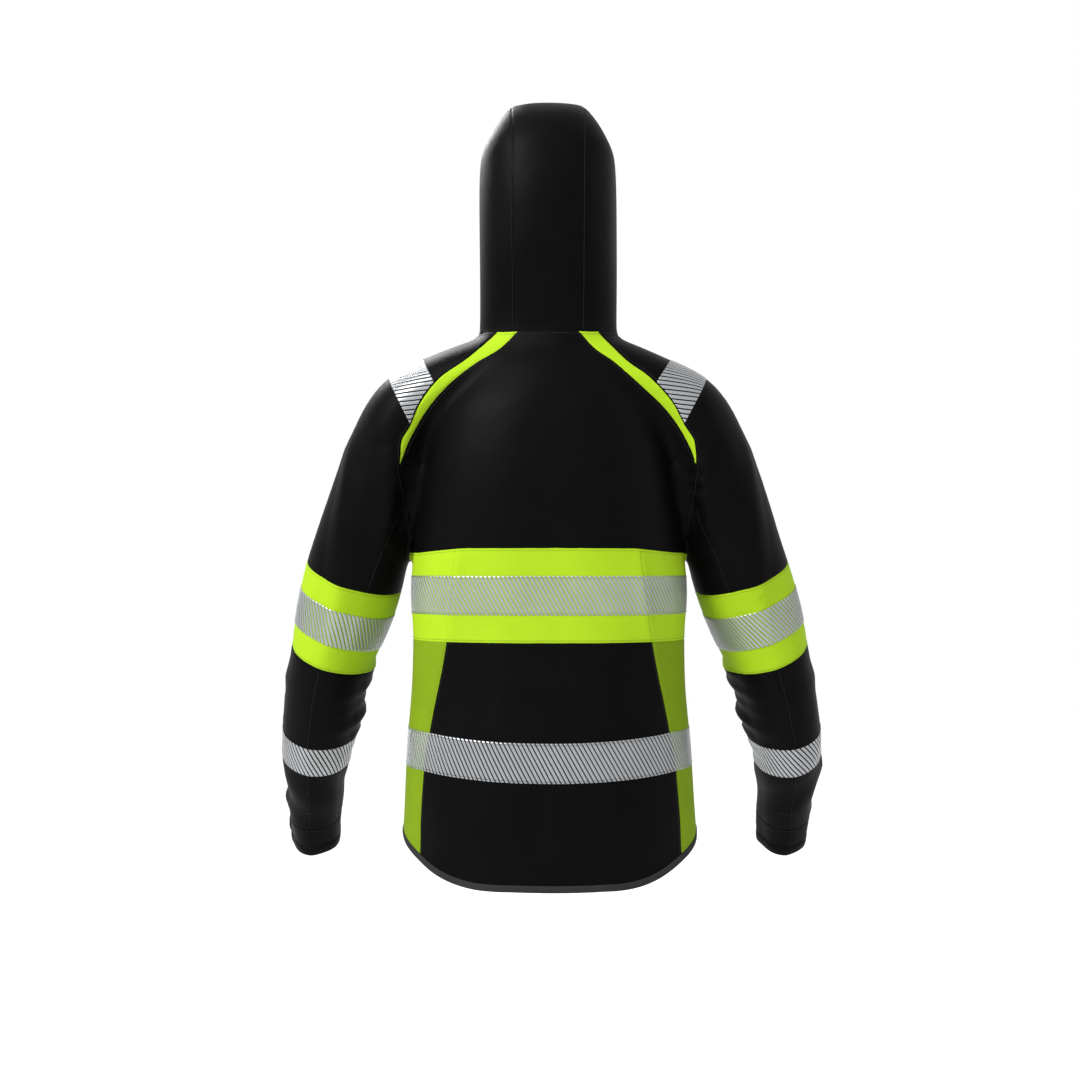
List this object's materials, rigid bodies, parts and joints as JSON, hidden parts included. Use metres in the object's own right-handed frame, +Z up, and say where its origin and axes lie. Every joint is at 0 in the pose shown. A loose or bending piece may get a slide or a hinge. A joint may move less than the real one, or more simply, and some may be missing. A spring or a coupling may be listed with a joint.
{
  "type": "turnout coat",
  "caption": "Hooded high-visibility work coat with reflective tapes, front zip, zipped pockets, cuff tabs and a dropped back hem.",
  "frame": {"origin": "on the centre plane at the height of the back neck seam, over the middle of the chest's depth, where the wearer's neck holds the coat", "axes": "+Z up, +X the wearer's left, the front faces -Y"},
  "size_m": [0.7758, 0.344, 1.041],
  "materials": {
    "shell_black": "matt bonded softshell, fine weave",
    "band_yellow": "fluorescent yellow softshell, matt",
    "side_yellow": "fluorescent yellow softshell side panel, matt",
    "tape_silver": "segmented retroreflective film, satin",
    "binding_grey": "dark grey elastic binding and facing, matt",
    "zip_black": "moulded zip teeth and woven zip tape, satin",
    "slider_metal": "dark coated cast zip hardware, semi-gloss"
  },
  "bodies": {
    "torso": {"back_yoke": "shell_black", "front_yoke_left": "shell_black", "front_yoke_right": "shell_black", "raglan_strip_left": "band_yellow", "raglan_strip_right": "band_yellow", "chest_band_back": "band_yellow", "chest_band_side_left": "band_yellow", "chest_band_side_right": "band_yellow", "chest_band_front_left": "band_yellow", "chest_band_front_right": "band_yellow", "waist_back": "shell_black", "side_panel_left": "side_yellow", "side_panel_right": "side_yellow", "waist_front_left": "shell_black", "waist_front_right": "shell_black", "chest_tape": "tape_silver", "lower_tape": "tape_silver", "hem_binding": "binding_grey", "hanger_loop": "binding_grey", "sleeve_head_left": "shell_black", "sleeve_head_right": "shell_black", "shoulder_tape_left": "tape_silver", "shoulder_tape_right": "tape_silver", "hood_neck": "shell_black", "main_zip_tape": "zip_black", "main_zip_chain": "zip_black", "main_zip_box": "slider_metal", "main_zip_stop": "slider_metal", "pocket_zip_left": "zip_black", "pocket_zip_right": "zip_black", "pocket_bag_left": "binding_grey", "pocket_bag_right": "binding_grey"},
    "hood": {"hood_centre": "shell_black", "hood_side_left": "shell_black", "hood_side_right": "shell_black", "hood_binding": "binding_grey"},
    "main_zip_slider": {"main_zip_slider": "slider_metal"},
    "main_zip_pull": {"main_zip_pull": "slider_metal"},
    "upper_sleeve_left": {"upper_sleeve_left": "shell_black", "sleeve_band_left": "band_yellow", "sleeve_band_tape_left": "tape_silver"},
    "forearm_left": {"elbow_section_left": "shell_black", "lower_sleeve_left": "shell_black", "forearm_tape_left": "tape_silver", "cuff_left": "shell_black"},
    "cuff_tab_left": {"cuff_tab_left": "binding_grey"},
    "pocket_slider_left": {"pocket_slider_left": "slider_metal"},
    "pocket_pull_left": {"pocket_pull_left": "slider_metal"},
    "upper_sleeve_right": {"upper_sleeve_right": "shell_black", "sleeve_band_right": "band_yellow", "sleeve_band_tape_right": "tape_silver"},
    "forearm_right": {"elbow_section_right": "shell_black", "lower_sleeve_right": "shell_black", "forearm_tape_right": "tape_silver", "cuff_right": "shell_black"},
    "cuff_tab_right": {"cuff_tab_right": "binding_grey"},
    "pocket_slider_right": {"pocket_slider_right": "slider_metal"},
    "pocket_pull_right": {"pocket_pull_right": "slider_metal"}
  },
  "joints": [
    {"name": "hood_tip", "type": "hinge", "parent": "torso", "child": "hood", "pos_m": [0, -0.1128, 0.015], "axis": [-1, 0, 0], "range_deg": [0, 40], "deforming": ["hood_neck", "hood_binding"]},
    {"name": "main_zip_slide", "type": "slide", "parent": "torso", "child": "main_zip_slider", "axis": [0, -0.0423, -0.9991], "range_m": [0, 0.63]},
    {"name": "main_zip_pull_hinge", "type": "hinge", "parent": "main_zip_slider", "child": "main_zip_pull", "pos_m": [0, -0.11919, 0.00592], "axis": [-1, 0, 0], "range_deg": [0, 170]},
    {"name": "shoulder_left", "type": "hinge", "parent": "torso", "child": "upper_sleeve_left", "pos_m": [0.2451, -0.0191, -0.262], "axis": [0, -1, 0], "range_deg": [0, 25], "deforming": ["upper_sleeve_left"]},
    {"name": "elbow_left", "type": "hinge", "parent": "upper_sleeve_left", "child": "forearm_left", "pos_m": [0.3159, -0.0726, -0.478], "axis": [-1, 0, 0], "range_deg": [0, 40], "deforming": ["elbow_section_left"]},
    {"name": "cuff_tab_hinge_left", "type": "hinge", "parent": "forearm_left", "child": "cuff_tab_left", "pos_m": [0.3395, -0.2014, -0.6688], "axis": [0.0367, -0.3903, -0.92], "range_deg": [0, 90]},
    {"name": "pocket_slide_left", "type": "slide", "parent": "torso", "child": "pocket_slider_left", "axis": [0, -0.0546, -0.9985], "range_m": [0, 0.1]},
    {"name": "pocket_pull_hinge_left", "type": "hinge", "parent": "pocket_slider_left", "child": "pocket_pull_left", "pos_m": [0.11396, -0.11534, -0.4132], "axis": [-0.8839, -0.4669, 0.026], "range_deg": [0, 170]},
    {"name": "shoulder_right", "type": "hinge", "parent": "torso", "child": "upper_sleeve_right", "pos_m": [-0.2451, -0.0191, -0.262], "axis": [0, 1, 0], "range_deg": [0, 25], "deforming": ["upper_sleeve_right"]},
    {"name": "elbow_right", "type": "hinge", "parent": "upper_sleeve_right", "child": "forearm_right", "pos_m": [-0.3159, -0.0726, -0.478], "axis": [-1, 0, 0], "range_deg": [0, 40], "deforming": ["elbow_section_right"]},
    {"name": "cuff_tab_hinge_right", "type": "hinge", "parent": "forearm_right", "child": "cuff_tab_right", "pos_m": [-0.3395, -0.2014, -0.6688], "axis": [0.0367, 0.3903, 0.92], "range_deg": [0, 90]},
    {"name": "pocket_slide_right", "type": "slide", "parent": "torso", "child": "pocket_slider_right", "axis": [0, -0.0546, -0.9985], "range_m": [0, 0.1]},
    {"name": "pocket_pull_hinge_right", "type": "hinge", "parent": "pocket_slider_right", "child": "pocket_pull_right", "pos_m": [-0.11396, -0.11534, -0.4132], "axis": [-0.8839, 0.4669, -0.026], "range_deg": [0, 170]}
  ]
}
